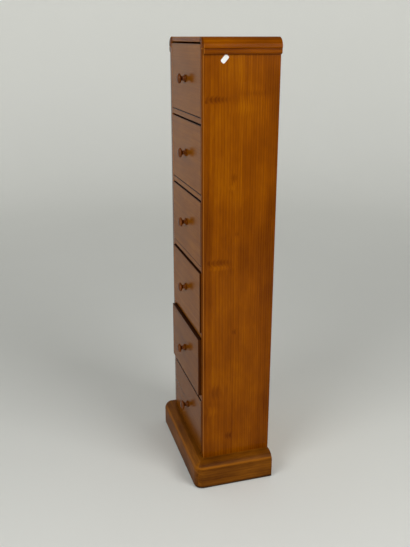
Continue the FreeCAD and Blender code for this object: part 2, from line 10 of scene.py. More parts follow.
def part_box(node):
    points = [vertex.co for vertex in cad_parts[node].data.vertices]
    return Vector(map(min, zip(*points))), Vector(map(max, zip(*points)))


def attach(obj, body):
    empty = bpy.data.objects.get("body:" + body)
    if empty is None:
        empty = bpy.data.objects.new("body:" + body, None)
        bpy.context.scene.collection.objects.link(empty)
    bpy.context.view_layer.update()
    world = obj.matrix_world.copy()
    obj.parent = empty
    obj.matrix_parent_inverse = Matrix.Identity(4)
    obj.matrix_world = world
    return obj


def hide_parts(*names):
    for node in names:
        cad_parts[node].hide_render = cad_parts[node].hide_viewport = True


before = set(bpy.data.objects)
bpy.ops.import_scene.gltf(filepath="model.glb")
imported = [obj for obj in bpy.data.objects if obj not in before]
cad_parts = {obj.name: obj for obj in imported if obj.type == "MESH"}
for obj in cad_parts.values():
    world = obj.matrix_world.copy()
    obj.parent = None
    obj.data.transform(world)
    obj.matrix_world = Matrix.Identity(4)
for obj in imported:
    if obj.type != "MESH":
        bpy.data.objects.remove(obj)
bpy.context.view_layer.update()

bl_info = {
    "name": "Chiffonier",
    "version": (1, 0, 0),
    "blender": (4, 5, 0),
    "location": "View3D > Sidebar > Chiffonier",
    "description": "Varnished narrow chest of drawers: wood, turned knobs, paper tag, nails and studio",
    "category": "Object",
}

MM = 0.001
AXES = {"x": Vector((1, 0, 0)), "y": Vector((0, 1, 0)), "z": Vector((0, 0, 1))}
FORWARD = (0, -1, 0)


def linear(code):
    """Turns an sRGB hex colour into the linear numbers that Blender's sockets hold."""
    parts = [int(code[i:i + 2], 16) / 255 for i in (1, 3, 5)]
    return tuple(c / 12.92 if c <= 0.04045 else ((c + 0.055) / 1.055) ** 2.4 for c in parts)


def colour(name, code, description):
    """A colour setting with its default as sRGB hex."""
    return FloatVectorProperty(name=name, description=description, default=linear(code),
                               subtype="COLOR", size=3, min=0, max=1)


def length(name, millimetres, description):
    """A length setting with its default in millimetres."""
    return FloatProperty(name=name, description=description, default=millimetres * MM,
                         subtype="DISTANCE", unit="LENGTH", min=0)


def angle(name, degrees, description):
    """An angle setting with its default in degrees."""
    return FloatProperty(name=name, description=description, default=math.radians(degrees),
                         subtype="ANGLE", unit="ROTATION")


class ChiffonierWood(bpy.types.PropertyGroup):
    """Colours and figure of the wood."""
    amber: colour("Amber", "#A55F00", "Early wood under varnish, the lightest tone outside")
    ginger: colour("Ginger", "#844300", "Middle tone of the varnished wood")
    heart: colour("Heart", "#5E2A00", "Late wood and dark streaks under varnish")
    honey: colour("Honey", "#A8680E", "Lightest tone of the drawer fronts and rails")
    hazel: colour("Hazel", "#814908", "Middle tone of the drawer fronts and rails")
    bark: colour("Bark", "#5C2D06", "Darkest tone of the drawer fronts and rails")
    umber: colour("Umber", "#91550F", "Lightest tone of the plinth")
    walnut: colour("Walnut", "#6B3B06", "Middle tone of the plinth")
    sepia: colour("Sepia", "#482203", "Darkest tone of the plinth")
    russet: colour("Russet", "#965008", "Lightest tone of the knobs")
    chestnut: colour("Chestnut", "#743A03", "Middle tone of the knobs")
    # painted shade: the dark colour of the edges in the gaps round the drawer fronts and rails
    grime: colour("Grime", "#2A1008", "Stained edges inside the openings")
    pale: colour("Pale", "#C79D6B", "Early wood of the unfinished inner boards")
    buff: colour("Buff", "#AF8350", "Middle tone of the unfinished inner boards")
    brown: colour("Brown", "#855A32", "Late wood of the unfinished inner boards")
    ring_gap: length("Ring gap", 7, "Distance from one growth ring to the next")
    easing: length("Easing", 17, "How much of the case's front edge turns outwards")
    # worn varnish and painted highlight: the pale colour along the case's front edges
    rubbed: colour("Rubbed edge", "#C07A2C", "Edges where the varnish has worn thin")
    # painted shade: the dark colour of the plinth's foot where it meets the floor
    damp: colour("Damp foot", "#1F1206", "Lowest edge of the plinth, blackened by mops and damp floors")
    gloss: FloatProperty(name="Gloss", description="Weight of the varnish coat outside", default=1,
                         subtype="FACTOR", min=0, max=1)


class ChiffonierKnob(bpy.types.PropertyGroup):
    """Sizes of the turned knob."""
    spigot: length("Spigot", 4.5, "Radius of the pin that is glued in the drawer front")
    spigot_depth: length("Spigot depth", 15, "How far the pin goes into the drawer front")
    collar: length("Collar", 10.5, "Radius of the foot that stands on the drawer front")
    collar_height: length("Collar height", 4.5, "Height of the foot")
    neck: length("Neck", 5.6, "Smallest radius of the neck")
    neck_end: length("Neck end", 14, "Reach at which the head begins")
    head: length("Head", 13.7, "Largest radius of the head")
    rim: length("Rim", 17.8, "Reach of the widest part of the head")
    reach: length("Reach", 24, "Distance from the drawer front to the top of the head")
    facets: IntProperty(name="Facets", description="Points round the knob", default=48, min=12)


class ChiffonierTrim(bpy.types.PropertyGroup):
    """Sizes of the paper tag and the nails behind."""
    tag_width: length("Tag width", 12.5, "Short side of the blank paper tag")
    tag_length: length("Tag length", 22.5, "Long side of the blank paper tag")
    tag_corner: length("Tag corner", 3.6, "Radius of the tag's corners")
    tag_paper: colour("Tag paper", "#F2F1EC", "Colour of the paper")
    nail_head: length("Nail head", 2.3, "Radius of a nail head")
    nail_gap: length("Nail gap", 105, "Distance from one nail to the next")
    nail_steel: colour("Nail steel", "#7D7A74", "Colour of the nail heads")
    nail_rust: colour("Nail rust", "#5B4234", "Colour of the rust on them")


class ChiffonierStage(bpy.types.PropertyGroup):
    """Camera, lamps and studio."""
    camera_place: FloatVectorProperty(name="Camera place", description="Where the camera stands",
                                      default=(1.8735, -0.5861, 1.2996), subtype="TRANSLATION")
    camera_heading: angle("Camera heading", 73.513, "Turn of the camera from straight at the front")
    camera_dip: angle("Camera dip", 19.267, "How far the camera looks down")
    camera_lens: FloatProperty(name="Lens", description="Focal length in millimetres", default=44.594, min=1)
    floor: colour("Floor", "#E8E9E4", "Colour of the floor and the sweep behind")
    floor_radius: length("Floor radius", 3400, "Flat part of the floor")
    sweep: length("Sweep", 1200, "Radius of the curve from floor to wall")
    wall_height: length("Wall height", 2600, "Height of the wall above the curve")
    right_power: FloatProperty(name="Right lamp", default=29.5, min=0,
                               description="Power of the soft lamp right of the camera, in watts")
    left_power: FloatProperty(name="Left lamp", default=23.5, min=0,
                              description="Power of the soft lamp left of the camera, in watts")
    sky: FloatProperty(name="Sky", default=0.33, min=0,
                       description="Strength of the even light from all round")
    glow: FloatProperty(name="Glow", default=0.27, min=0, max=1,
                        description="How much paler the sweep is seen and mirrored at its top")


# Shader helpers

# The Mix node's sockets for colours, which have the same names as its sockets for numbers
SHARE, FIRST, SECOND, MIXED = 0, 6, 7, 2


def add(tree, kind, fill=(), stops=(), **settings):
    """Adds one shader node and gives its outputs.

    settings are its properties, fill gives its sockets values or links, and stops sets its ramp.
    """
    made = tree.nodes.new("ShaderNode" + kind)
    for name, value in settings.items():
        setattr(made, name, value)
    for socket, value in dict(fill).items():
        if isinstance(value, bpy.types.NodeSocket):
            tree.links.new(value, made.inputs[socket])
        else:
            made.inputs[socket].default_value = value
    for number, (place, tone) in enumerate(stops):
        ramp = made.color_ramp.elements
        stop = ramp[number] if number < 2 else ramp.new(place)
        stop.position = place
        stop.color = (*tone, 1)
    return made.outputs


def new_material(name):
    """An empty material with its output, ready for a shader."""
    made = bpy.data.materials.new(name)
    made.use_nodes = True
    made.node_tree.nodes.clear()
    return made


def close(material, shader):
    """Joins the finished shader to the material's output."""
    add(material.node_tree, "OutputMaterial", {"Surface": shader})
    return material


class Cut:
    """How a board was cut from the tree: the way its fibres run and where the tree's heart lies.

    depth and aside are the millimetres from the middle of the board to the heart, through its thickness and
    across its width. lean and drift are how many metres the heart leans, in the same two directions, for each
    metre along the board. What isn't given is drawn at random, with the board's name as the seed.
    """

    def __init__(self, name, along, depth=None, aside=None, lean=None, drift=None):
        draw = random.Random(name)
        low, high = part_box(name)
        size = high - low
        across = sorted((axis for axis in AXES if axis != along), key=lambda axis: size["xyz".index(axis)])
        thick, wide = (AXES[axis] for axis in across)
        guess_depth = draw.uniform(60, 150) * draw.choice((-1, 1))
        guess_aside = draw.uniform(60, 170) * draw.choice((-1, 1))
        guess_lean = draw.uniform(0.008, 0.02) * draw.choice((-1, 1))
        guess_drift = draw.uniform(-0.012, 0.012)
        depth = guess_depth if depth is None else depth
        aside = guess_aside if aside is None else aside
        lean = guess_lean if lean is None else lean
        drift = guess_drift if drift is None else drift
        heart = AXES[along] + thick * lean + wide * drift
        self.along = AXES[along]
        self.low, self.high = low, high
        self.place = (low + high) / 2 + thick * (depth * MM) + wide * (aside * MM)
        self.turn = heart.normalized().to_track_quat("Z", "X").to_euler()


# IOR and roughness of the varnish: on the boards, on the plinth, where it has gone dull, and on the knobs
BOARD_COAT = (1.14, 0.18)
PLINTH_COAT = (1.14, 0.42)
KNOB_COAT = (1.5, 0.16)
# Marks in the wood: width across the grain, and how many times longer each mark is along it
PORE = (1.3 * MM, 22)
STREAK = (3.2 * MM, 70)
BAND = (13 * MM, 45)
CLOUD = (60 * MM, 2)
WANDER = (110 * MM, 9)
# One growth ring from its early wood to its late wood: place in the ring and darkness
RING = ((0, 0.15), (0.1, 0.1), (0.5, 0.4), (0.85, 0.95), (1, 0.15))
RING_WANDER = 20 * MM  # how far the rings wave
KNOT_RAGGED = 1.6  # how ragged a knot's outline is
KNOT_EDGE = 1.9  # where a knot fades out, in shares of its size
KNOT_CORE = 0.8  # where it is at its full
KNOT_PUSH = 1.5  # how many rings a full knot pushes aside
KNOT_TONE = 0.5  # how much a full knot tells in the colour
PORE_DULL = 0.07  # how much rougher the pores are than the mean, and how much smoother the wood between them
PORE_DEPTH = 0.2 * MM
PORE_BUMP = 0.2
END_SHADE = 0.55  # how far end grain goes towards the darkest tone
ARRIS_REACH = 2.2 * MM  # how far the edge colours reach: worn varnish with a painted highlight on the case, painted shade beside the gaps on the drawer fronts and rails
ARRIS_SHADE = 0.6  # how far they take on their colour, and so on for the next two
STAIN_SHADE = 0.9
FOOT_SHADE = 0.95
BARE_SPECULAR = 0.3  # mirror image of bare wood; varnished wood leaves it all to the varnish
EDGE_RADIUS = 25 * MM  # from the case's outer edge to the line that its rounding is centred on
EDGE_RISE = 3 * MM  # from the top of the sides to the upper end of that line
EDGE_UPWARD = 0.4  # how far the rounding turns up, as a share of how far it turns aside
EDGE_SLOPE = 1.1  # its slope at its outer end


def figure(tree, grain, mark, detail, roughness=0.5):
    """Noise drawn out along the grain, as wide and as long as the mark says."""
    width, stretch = mark
    drawn = add(tree, "VectorMath", {0: grain, 1: (1, 1, 1 / stretch)}, operation="MULTIPLY")[0]
    return add(tree, "TexNoise", {"Vector": drawn, "Scale": 1 / width, "Detail": detail,
                                  "Roughness": roughness})[0]


def height(tree, place):
    """How high the point lies above the floor."""
    return add(tree, "SeparateXYZ", {0: place["Object"]})["Z"]


def facing(tree, place, way):
    """One where the surface looks along way, nothing where it looks aside, minus one where it looks back."""
    return add(tree, "VectorMath", {0: place["Normal"], 1: way}, operation="DOT_PRODUCT")["Value"]


def arris(tree, place, cut, reach):
    """One along the edges of a straight board's front, and nothing further than reach from them."""
    middle, half = (cut.low + cut.high) / 2, (cut.high - cut.low) / 2
    away = add(tree, "VectorMath", {0: place["Object"], 1: middle}, operation="SUBTRACT")[0]
    away = add(tree, "VectorMath", {0: away}, operation="ABSOLUTE")[0]
    away = add(tree, "VectorMath", {0: away, 1: half}, operation="SUBTRACT")[0]
    x, _, z = add(tree, "SeparateXYZ", {0: away})
    behind = add(tree, "SeparateXYZ", {0: place["Object"]})["Y"]
    behind = add(tree, "Math", {0: cut.low.y, 1: behind}, operation="SUBTRACT")[0]
    side = add(tree, "Math", {0: x, 1: z}, operation="MAXIMUM")[0]
    further = add(tree, "Math", {0: side, 1: behind}, operation="MINIMUM")[0]
    return add(tree, "MapRange", {"Value": further, "From Min": -reach, "From Max": -reach / 3})[0]


def crest(tree, place, wander, level, reach):
    """One in stretches along a level line, and nothing further than reach above or below it."""
    above = add(tree, "Math", {0: height(tree, place), 1: level}, operation="SUBTRACT")[0]
    above = add(tree, "Math", {0: above}, operation="ABSOLUTE")[0]
    near = add(tree, "MapRange", {"Value": above, "From Min": reach, "From Max": 0})[0]
    stretches = add(tree, "MapRange", {"Value": wander, "From Min": 0.4, "From Max": 0.6})[0]
    return add(tree, "Math", {0: near, 1: stretches}, operation="MULTIPLY")[0]


def rounded(tree, place, normal, inner, start, end):
    """Turns the front face's normal outwards, more and more from start to end, as on a rounded edge.

    start and end are measured from the line that the rounding is centred on. inner is that line's distance
    from the middle of the chest and the height of its upper end.
    """
    x, _, z = add(tree, "SeparateXYZ", {0: place["Object"]})
    side = add(tree, "Math", {0: x}, operation="SIGN")[0]
    beyond = add(tree, "Math", {0: x}, operation="ABSOLUTE")[0]
    beyond = add(tree, "Math", {0: beyond, 1: inner[0]}, operation="SUBTRACT")[0]
    above = add(tree, "Math", {0: z, 1: inner[1]}, operation="SUBTRACT")[0]
    above = add(tree, "Math", {0: above, 1: 0}, operation="MAXIMUM")[0]
    upward = add(tree, "Math", {0: above, 1: EDGE_UPWARD}, operation="MULTIPLY")[0]
    sideways = add(tree, "Math", {0: beyond, 1: side}, operation="MULTIPLY")[0]
    away = add(tree, "CombineXYZ", {0: sideways, 2: above})[0]
    lean = add(tree, "CombineXYZ", {0: sideways, 2: upward})[0]
    reach = add(tree, "VectorMath", {0: away}, operation="LENGTH")["Value"]
    slope = add(tree, "MapRange", {"Value": reach, "From Min": start, "From Max": end,
                                   "To Max": EDGE_SLOPE})[0]
    front = facing(tree, place, FORWARD)
    front = add(tree, "MapRange", {"Value": front, "From Min": 0.7, "From Max": 0.95})[0]
    slope = add(tree, "Math", {0: slope, 1: front}, operation="MULTIPLY")[0]
    lean = add(tree, "VectorMath", {0: lean}, operation="NORMALIZE")[0]
    lean = add(tree, "VectorMath", {0: lean, "Scale": slope}, operation="SCALE")[0]
    turned = add(tree, "VectorMath", {0: normal, 1: lean}, operation="ADD")[0]
    return add(tree, "VectorMath", {0: turned}, operation="NORMALIZE")[0]


def knotted(tree, place, cut, wander, count, knots):
    """Parts the rings round each knot, patch or band of painted shade, and gives how much darker or lighter
    they all are.
    """
    shade = None
    for across, up, wide, tall, depth in knots:
        middle = Vector((cut.high.x, across * MM, up * MM))
        spread = (1, 1 / (wide * MM), 1 / (tall * MM))
        away = add(tree, "VectorMath", {0: place["Object"], 1: middle}, operation="SUBTRACT")[0]
        away = add(tree, "VectorMath", {0: away, 1: spread}, operation="MULTIPLY")[0]
        away = add(tree, "VectorMath", {0: away}, operation="LENGTH")["Value"]
        away = add(tree, "Math", {0: wander, 1: KNOT_RAGGED, 2: away}, operation="MULTIPLY_ADD")[0]
        near = add(tree, "MapRange", {"Value": away, "From Min": KNOT_EDGE, "From Max": KNOT_CORE,
                                      "To Max": depth}, interpolation_type="SMOOTHSTEP")[0]
        count = add(tree, "Math", {0: near, 1: KNOT_PUSH, 2: count}, operation="MULTIPLY_ADD")[0]
        shade = near if shade is None else add(tree, "Math", {0: shade, 1: near}, operation="ADD")[0]
    return count, shade


def wood(name, cut, tones, rough, gloss, ring_gap, contrast, knots=(), aged=0, worn=None, grime=None,
         ridge=None, foot=None, eased=None, coat=BOARD_COAT):
    """Solid wood: rings round the tree's heart, bands and streaks along it, clouds and darker end grain.

    Cut through at any angle the rings give the arches and stripes of sawn boards, and the streaks, stretched
    along the grain, become dots on the ends, as they do in a real board.
    """
    material = new_material(name)
    tree = material.node_tree
    place = add(tree, "TexCoord")
    grain = add(tree, "Mapping", {"Vector": place["Object"], "Location": cut.place, "Rotation": cut.turn},
                vector_type="TEXTURE")[0]
    wander = figure(tree, grain, WANDER, detail=2)
    radius = add(tree, "VectorMath", {0: grain, 1: (1, 1, 0)}, operation="MULTIPLY")[0]
    radius = add(tree, "VectorMath", {0: radius}, operation="LENGTH")["Value"]
    count = add(tree, "Math", {0: radius, 1: 1 / ring_gap}, operation="MULTIPLY")[0]
    count = add(tree, "Math", {0: wander, 1: RING_WANDER / ring_gap, 2: count}, operation="MULTIPLY_ADD")[0]
    count, knot = knotted(tree, place, cut, wander, count, knots)
    ring = add(tree, "Math", {0: count}, operation="FRACT")[0]
    ring = add(tree, "ValToRGB", {"Fac": ring}, stops=[(part, (shade,) * 3) for part, shade in RING])[0]
    pore = figure(tree, grain, PORE, detail=2)
    marks = (ring, figure(tree, grain, BAND, detail=1), figure(tree, grain, STREAK, detail=3, roughness=0.6),
             figure(tree, grain, CLOUD, detail=3), pore)
    # the marks darken as much as they lighten, so the middle tone stays the most common one
    # each board made darker or lighter as a whole: painted shade on the two lowest drawer fronts
    tone = 0.5 - 0.5 * sum(contrast) + aged
    for mark, strength in zip(marks, contrast):
        tone = add(tree, "Math", {0: mark, 1: strength, 2: tone}, operation="MULTIPLY_ADD")[0]
    # knots and patches, with the painted shade of the wide patches on the right side
    if knot:
        tone = add(tree, "Math", {0: knot, 1: KNOT_TONE, 2: tone}, operation="MULTIPLY_ADD")[0]
    if ridge:
        # painted highlight: a paler line in stretches along a level, standing for the highlight on a round
        level, reach, brightness = ridge
        bright = crest(tree, place, wander, level, reach)
        tone = add(tree, "Math", {0: bright, 1: -brightness, 2: tone}, operation="MULTIPLY_ADD")[0]
    light, middle, dark = tones
    body = add(tree, "ValToRGB", {"Fac": tone}, stops=((0.1, light), (0.9, dark), (0.5, middle)))[0]
    layers = []
    if worn:
        # the front edges are made paler on the case, as worn varnish and a painted highlight along the arris,
        # and darker on the drawer fronts and rails, as painted shade beside the gaps
        rubbed = arris(tree, place, cut, ARRIS_REACH)
        rubbed = add(tree, "Math", {0: rubbed, 1: ARRIS_SHADE}, operation="MULTIPLY")[0]
        layers.append((rubbed, worn))
    if grime:
        # painted shade: the edges inside the openings, which look away from the front, take the dark colour
        # of the shade in the gaps
        hidden = facing(tree, place, FORWARD)
        hidden = add(tree, "MapRange", {"Value": hidden, "From Min": 0.6, "From Max": 0.4,
                                        "To Max": STAIN_SHADE})[0]
        layers.append((hidden, grime))
    if foot:
        # painted shade: the lowest edge is darkened, most of all its lowest third, as the shade where the
        # plinth meets the floor
        reach, black = foot
        low = height(tree, place)
        low = add(tree, "MapRange", {"Value": low, "From Min": reach, "From Max": reach / 3,
                                     "To Max": FOOT_SHADE})[0]
        layers.append((low, black))
    # cut fibres drink more varnish and dust, so the ends of a board are darker
    ends = add(tree, "Math", {0: facing(tree, place, cut.along)}, operation="ABSOLUTE")[0]
    ends = add(tree, "MapRange", {"Value": ends, "From Min": 0.6, "From Max": 1, "To Max": END_SHADE})[0]
    layers.append((ends, dark))
    for share, layer in layers:
        body = add(tree, "Mix", {SHARE: share, FIRST: body, SECOND: (*layer, 1)}, data_type="RGBA")[MIXED]
    dull = add(tree, "MapRange", {"Value": pore, "From Min": 0.3, "From Max": 0.7,
                                  "To Min": rough - PORE_DULL, "To Max": rough + PORE_DULL})[0]
    relief = add(tree, "Bump", {"Strength": PORE_BUMP, "Distance": PORE_DEPTH, "Height": pore})[0]
    smooth = {}
    if eased:
        relief = rounded(tree, place, relief, *eased)
        smooth["Coat Normal"] = relief
    # the wood itself gives no mirror image: all the shine comes from the varnish, whose IOR starts at 1.5 and
    # is brought down until the front and the side reflect as little as they do in the daylight of a room
    coat_ior, coat_roughness = coat
    shader = add(tree, "BsdfPrincipled", {
        "Base Color": body, "Roughness": dull, "Normal": relief,
        "Specular IOR Level": 0 if gloss else BARE_SPECULAR,
        "Coat Weight": gloss, "Coat Roughness": coat_roughness, "Coat IOR": coat_ior, **smooth})[0]
    return close(material, shader)


def paint(name, material):
    """Gives a CAD node its material in place of the plain one it came with."""
    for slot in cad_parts[name].material_slots:
        slot.material = material


# Modelling helpers

SAME_POINT = 1e-6  # points nearer than this are one
SMOOTH_ANGLE = math.radians(35)  # faces that meet at less than this look like one curve


def begin():
    """Leaves edit mode and selects nothing, so that the next operator acts on its own piece only."""
    if bpy.context.object and bpy.context.object.mode != "OBJECT":
        bpy.ops.object.mode_set(mode="OBJECT")
    bpy.ops.object.select_all(action="DESELECT")


def complete(name, material, body, stands_for=None):
    """Names the active piece, closes and smooths it, puts its object at the origin and lets it ride."""
    bpy.ops.object.mode_set(mode="EDIT")
    bpy.ops.mesh.select_all(action="SELECT")
    bpy.ops.mesh.remove_doubles(threshold=SAME_POINT)
    bpy.ops.mesh.normals_make_consistent(inside=False)
    bpy.ops.object.mode_set(mode="OBJECT")
    piece = bpy.context.object
    piece.name = piece.data.name = name
    bpy.ops.object.transform_apply(location=True, rotation=True, scale=True)
    bpy.ops.object.shade_smooth_by_angle(angle=SMOOTH_ANGLE)
    piece.data.materials.clear()
    piece.data.materials.append(material)
    settle(piece, body, stands_for)
    return piece


def settle(piece, body, stands_for=None):
    """Says which body a piece moves with and hides the CAD node that it stands for."""
    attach(piece, body)
    if stands_for:
        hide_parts(stands_for)


def copy_piece(piece, name, shift):
    """Another of the same piece with its own mesh, moved by shift, that rides on nothing yet."""
    made = piece.copy()
    made.data = piece.data.copy()
    made.name = made.data.name = name
    made.parent = None
    made.data.transform(Matrix.Translation(shift))
    for key in [key for key in made.keys() if key.startswith("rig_")]:
        del made[key]
    bpy.context.scene.collection.objects.link(made)
    return made


def quarter(steps):
    """Sine and cosine at even steps of a quarter turn, from the first step to its end."""
    turns = [math.pi / 2 * step / steps for step in range(1, steps + 1)]
    return [(math.sin(turn), math.cos(turn)) for turn in turns]


# Knots and patches on the right side, and after them long dark bands down its front and back edges, a tall
# paler band in the middle, a wide painted shade that darkens the side from its middle down, where less light
# falls, and a dark patch low near the back: place from the middle and from the floor, half width and half
# height in millimetres, and how much darker the middle is, or lighter where that is below nothing
SIDE_KNOTS = (
    (-52, 1147, 42, 11, 0.55), (-80, 1141, 5, 5, 0.6), (55, 1161, 50, 14, 0.3), (24, 1125, 62, 26, -0.3),
    (14, 1215, 22, 60, -0.3), (-1, 942, 12, 16, 0.45), (-6, 915, 12, 10, -0.25), (9, 785, 9, 8, 0.3),
    (-48, 707, 40, 10, 0.45), (-40, 690, 45, 8, -0.25), (5, 491, 9, 9, 0.4), (-52, 300, 20, 26, 0.4),
    (-66, 240, 22, 22, -0.3), (-9, 147, 14, 15, 0.6),
    (125, 650, 70, 2500, 0.5), (-88, 650, 36, 2500, 0.4), (-15, 1000, 65, 450, -0.15),
    # painted shade: the wide patch that darkens the side from its middle down, where less light falls
    (0, 720, 400, 260, 0.2), (80, 520, 40, 140, 0.3),
)
# How much darker, or lighter, than the others each board is made; on the two lowest drawer fronts this is
# painted shade, where less light falls towards the floor
AGED = {
    "drawer_5_front": 0.16, "drawer_6_front": 0.16, "side_left": 0.1, "bead_left": 0.2, "bead_right": 0.2,
    "shoulder_left": 0.05, "shoulder_right": 0.05, "top_board": 0.12, "plinth_right": -0.05,
}
# How much rings, bands, streaks, clouds and pores each show
FIGURE_CASE = (0.2, 0.3, 0.4, 0.6, 0.35)
FIGURE_FRONT = (0.05, 0.2, 0.25, 0.35, 0.2)
FIGURE_PLINTH = (0.15, 0.5, 0.3, 1.1, 0.6)
FIGURE_KNOB = (0.2, 0.5, 0.6, 0.5, 0.3)
FIGURE_BARE = (0.2, 0.5, 0.5, 0.4, 0.3)
FIGURE_PEELED = (0.3, 0.4, 0.4, 0.5, 0.3)
# The painted highlights along the plinth's round and low on the shoulders: height, reach and brightness
PLINTH_RIDGE = (69 * MM, 4 * MM, 0.9)
SHOULDER_RIDGE = (1275 * MM, 2.5 * MM, 0.5)
FOOT_REACH = 11 * MM  # how high the painted shade at the plinth's foot reaches
SHOULDER_GLOSS = 0.5  # how much of the other boards' gloss the shoulders have
KNOB_GLOSS = 0.5
KNOB_RINGS = 0.5  # the knobs' ring gap as a share of the boards'
VENEER_RINGS = 3  # the same for peeled veneer

DRAWERS = range(1, 7)
RAILS = range(1, 6)
# The boards by finish, each with the way its fibres run
VARNISHED = {
    "side_left": "z", "side_right": "z", "top_board": "x", "shoulder_left": "y", "shoulder_right": "y",
    "bead_left": "y", "bead_right": "y", "plinth_front": "x", "plinth_left": "y", "plinth_right": "y",
    **{f"rail_{n}": "x" for n in RAILS}, **{f"drawer_{n}_front": "x" for n in DRAWERS},
}
INNER = {
    "bottom_board": "x", "runners_left": "y", "runners_right": "y", "plinth_back": "x", "glue_blocks": "z",
    "drawer_stops": "x",
    **{f"drawer_{n}_{part}": along for n in DRAWERS
       for part, along in (("side_left", "y"), ("side_right", "y"), ("back", "x"))},
}
THIN = {"back_panel": "z", **{f"drawer_{n}_bottom": "x" for n in DRAWERS}}


class CHIFFONIER_OT_varnish(bpy.types.Operator):
    """Finishes the outside boards as stained and varnished pine"""
    bl_idname = "chiffonier.varnish"
    bl_label = "Varnished Boards"

    def execute(self, context):
        wish = context.scene.chiffonier_wood
        tones = (wish.amber, wish.ginger, wish.heart)
        front_tones = (wish.honey, wish.hazel, wish.bark)
        plinth_tones = (wish.umber, wish.walnut, wish.sepia)
        _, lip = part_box("side_right")
        # pine, stained and varnished by hand: warm and clear, with a soft shine over its knots and streaks
        for name, along in VARNISHED.items():
            cut = Cut(name, along)
            # on the case the front edges are made paler, as worn varnish and painted highlight
            finish = {"tones": tones, "gloss": wish.gloss, "contrast": FIGURE_CASE, "worn": wish.rubbed,
                      "aged": AGED.get(name, 0)}
            if name == "side_right":
                cut = Cut(name, along, depth=-70, aside=-150, lean=0.01, drift=-0.006)
                # knots and patches, with bands of painted shade
                finish["knots"] = SIDE_KNOTS
            if name.startswith(("rail", "drawer")):
                # painted shade: the edges of the drawer fronts and rails beside the gaps and inside the
                # openings take the gap shade colour
                finish.update(tones=front_tones, contrast=FIGURE_FRONT, worn=wish.grime, grime=wish.grime)
            if name.startswith("plinth"):
                # painted highlight along the plinth's round and painted shade at its foot
                finish.update(tones=plinth_tones, contrast=FIGURE_PLINTH, worn=None, ridge=PLINTH_RIDGE,
                              foot=(FOOT_REACH, wish.damp), coat=PLINTH_COAT)
            if name.startswith("shoulder"):
                # painted highlight low on the shoulders
                finish.update(ridge=SHOULDER_RIDGE, gloss=wish.gloss * SHOULDER_GLOSS)
            if name.startswith(("side", "shoulder", "bead")):
                edge = max(abs(corner.x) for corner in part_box(name))
                inner = (edge - EDGE_RADIUS, lip.z + EDGE_RISE)
                finish["eased"] = (inner, EDGE_RADIUS - wish.easing, EDGE_RADIUS)
            paint(name, wood(f"Pine varnished {name}", cut, rough=0.5, ring_gap=wish.ring_gap, **finish))
        return {"FINISHED"}


class CHIFFONIER_OT_inner(bpy.types.Operator):
    """Finishes the drawer boxes, runners and hidden boards as bare wood"""
    bl_idname = "chiffonier.inner"
    bl_label = "Bare Inner Boards"

    def execute(self, context):
        wish = context.scene.chiffonier_wood
        tones = (wish.pale, wish.buff, wish.brown)
        for name, along in INNER.items():
            # planed and left bare: pale, dry and dull
            paint(name, wood(f"Pine bare {name}", Cut(name, along), tones, rough=0.72, gloss=0,
                             ring_gap=wish.ring_gap, contrast=FIGURE_BARE))
        for name, along in THIN.items():
            # peeled veneer on plywood: the knife follows the rings, so their figure is wide and wavy
            paint(name, wood(f"Plywood bare {name}", Cut(name, along, depth=160), tones, rough=0.7, gloss=0,
                             ring_gap=wish.ring_gap * VENEER_RINGS, contrast=FIGURE_PEELED))
        return {"FINISHED"}


KNOB_EASE = 0.9 * MM  # radius of the edges of the knob's foot
# The power that a sine is raised to for the neck's hollow, and a cosine for the head's crown: less is fuller
NECK_POWER = 0.8
CROWN_POWER = 0.75


def knob_turning(wish):
    """The knob's outline as the lathe leaves it: pairs of reach from the drawer front and radius."""
    waist = wish.collar - KNOB_EASE
    outline = [(-wish.spigot_depth, wish.spigot), (0, wish.spigot), (0, waist)]
    for sine, cosine in quarter(4):
        outline.append((KNOB_EASE * (1 - cosine), wish.collar - KNOB_EASE * (1 - sine)))
    outline.append((wish.collar_height - KNOB_EASE, wish.collar))
    for sine, cosine in quarter(4):
        outline.append((wish.collar_height - KNOB_EASE * (1 - sine), wish.collar - KNOB_EASE * (1 - cosine)))
    steps = 12
    for step in range(1, steps + 1):
        along = step / steps
        hollow = (waist - wish.neck) * math.sin(math.pi * along) ** NECK_POWER
        outline.append((wish.collar_height + (wish.neck_end - wish.collar_height) * along, waist - hollow))
    for sine, cosine in quarter(5):
        outline.append((wish.neck_end + (wish.rim - wish.neck_end) * (1 - cosine),
                        waist + (wish.head - waist) * sine))
    for sine, cosine in quarter(12)[:-1]:
        outline.append((wish.rim + (wish.reach - wish.rim) * sine, wish.head * cosine ** CROWN_POWER))
    return outline


